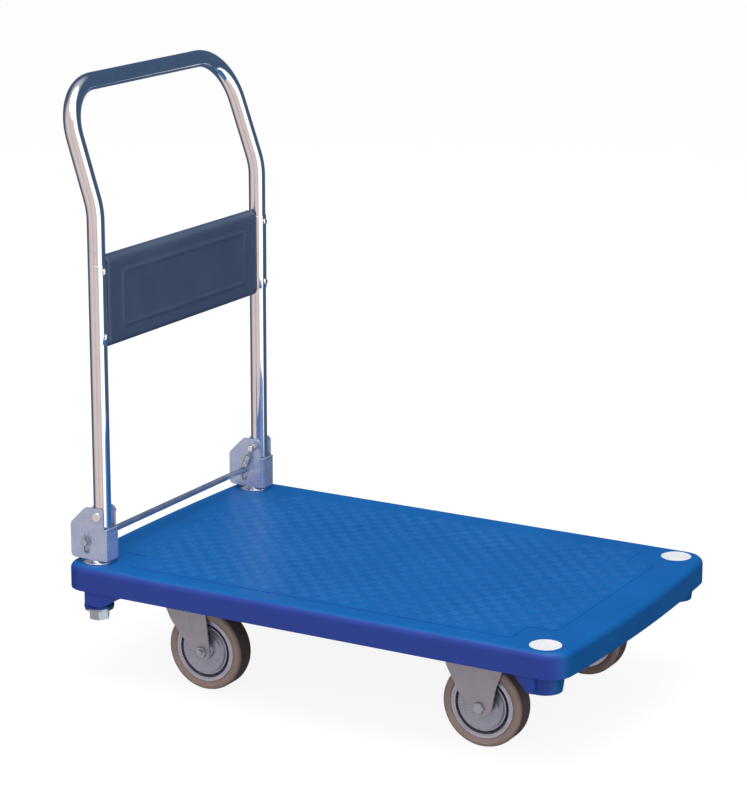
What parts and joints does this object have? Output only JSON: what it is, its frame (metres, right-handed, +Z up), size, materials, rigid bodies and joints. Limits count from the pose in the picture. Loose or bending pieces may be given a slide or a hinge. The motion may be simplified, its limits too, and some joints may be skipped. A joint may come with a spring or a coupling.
{
  "type": "folding platform cart",
  "caption": "Folding platform cart: moulded blue deck, chrome tube handle that folds flat, sprung release rod, swivel casters at the handle end and rigid ones in front.",
  "frame": {"origin": "on the floor, below the middle of the whole cart's box", "axes": "+X from the handle towards the front of the deck, +Y to the left of a user who stands at the handle, +Z up"},
  "size_m": [0.7276, 0.4446, 0.7721],
  "materials": {
    "deck_plastic": "moulded plastic, semi-gloss, fine texture on the top",
    "cap_plastic": "smooth white",
    "panel_plastic": "fine moulded grain",
    "chrome": "bright chrome plate",
    "bright_plate": "bright nickel plate",
    "bracket_zinc": "satin zinc plate",
    "caster_zinc": "zinc plate, pressed",
    "wheel_steel": "satin plated",
    "fastener_zinc": "bright zinc",
    "spring_steel": "drawn wire",
    "tyre_rubber": "matt grey-brown solid rubber",
    "bush_nylon": "natural nylon"
  },
  "bodies": {
    "base": {"deck": "deck_plastic", "corner_cap_left": "cap_plastic", "corner_cap_right": "cap_plastic", "hinge_bracket_left": "bracket_zinc", "hinge_bracket_right": "bracket_zinc", "bracket_collar_left": "bright_plate", "bracket_collar_right": "bright_plate", "clamp_bolts": "fastener_zinc", "clamp_washers": "fastener_zinc", "clamp_nuts": "fastener_zinc", "pivot_pin_left": "bright_plate", "pivot_pin_right": "bright_plate", "release_spring_left": "spring_steel", "release_spring_right": "spring_steel", "caster_screws": "fastener_zinc", "swivel_plate_left": "caster_zinc", "swivel_plate_right": "caster_zinc", "kingpin_left": "caster_zinc", "kingpin_right": "caster_zinc", "rigid_fork_left": "caster_zinc", "rigid_fork_right": "caster_zinc", "axle_bolt_front_left": "fastener_zinc", "axle_bolt_front_right": "fastener_zinc", "axle_nut_front_left": "fastener_zinc", "axle_nut_front_right": "fastener_zinc"},
    "handle": {"handle_tube": "chrome", "handle_panel": "panel_plastic", "panel_rivets": "bright_plate"},
    "release": {"release_rod": "bright_plate", "rod_washers": "fastener_zinc", "rod_clips": "fastener_zinc"},
    "swivel_left": {"swivel_fork_left": "caster_zinc", "swivel_balls_left": "spring_steel", "axle_bolt_rear_left": "fastener_zinc", "axle_nut_rear_left": "fastener_zinc"},
    "swivel_right": {"swivel_fork_right": "caster_zinc", "swivel_balls_right": "spring_steel", "axle_bolt_rear_right": "fastener_zinc", "axle_nut_rear_right": "fastener_zinc"},
    "wheel_rear_left": {"tyre_rear_left": "tyre_rubber", "wheel_core_rear_left": "wheel_steel", "wheel_covers_rear_left": "wheel_steel", "wheel_bush_rear_left": "bush_nylon"},
    "wheel_rear_right": {"tyre_rear_right": "tyre_rubber", "wheel_core_rear_right": "wheel_steel", "wheel_covers_rear_right": "wheel_steel", "wheel_bush_rear_right": "bush_nylon"},
    "wheel_front_left": {"tyre_front_left": "tyre_rubber", "wheel_core_front_left": "wheel_steel", "wheel_covers_front_left": "wheel_steel", "wheel_bush_front_left": "bush_nylon"},
    "wheel_front_right": {"tyre_front_right": "tyre_rubber", "wheel_core_front_right": "wheel_steel", "wheel_covers_front_right": "wheel_steel", "wheel_bush_front_right": "bush_nylon"}
  },
  "joints": [
    {"name": "handle_fold", "type": "hinge", "parent": "base", "child": "handle", "pos_m": [-0.30315, 0, 0.2222], "axis": [0, 1, 0], "range_deg": [0, 96]},
    {"name": "release_press", "type": "slide", "parent": "base", "child": "release", "axis": [0, 0, -1], "range_m": [0, 0.012], "stiffness_N_per_m": 700, "springref_m": -0.01, "deforming": ["release_spring_left", "release_spring_right"]},
    {"name": "caster_swivel_left", "type": "hinge", "parent": "base", "child": "swivel_left", "pos_m": [-0.20415, 0.1425, 0.1236], "axis": [0, 0, 1], "continuous": true},
    {"name": "caster_swivel_right", "type": "hinge", "parent": "base", "child": "swivel_right", "pos_m": [-0.20415, -0.1425, 0.1236], "axis": [0, 0, 1], "continuous": true},
    {"name": "rear_wheel_spin_left", "type": "hinge", "parent": "swivel_left", "child": "wheel_rear_left", "pos_m": [-0.17365, 0.1425, 0.053], "axis": [0, 1, 0], "continuous": true},
    {"name": "rear_wheel_spin_right", "type": "hinge", "parent": "swivel_right", "child": "wheel_rear_right", "pos_m": [-0.17365, -0.1425, 0.053], "axis": [0, 1, 0], "continuous": true},
    {"name": "front_wheel_spin_left", "type": "hinge", "parent": "base", "child": "wheel_front_left", "pos_m": [0.22105, 0.1425, 0.053], "axis": [0, 1, 0], "continuous": true},
    {"name": "front_wheel_spin_right", "type": "hinge", "parent": "base", "child": "wheel_front_right", "pos_m": [0.22105, -0.1425, 0.053], "axis": [0, 1, 0], "continuous": true}
  ]
}
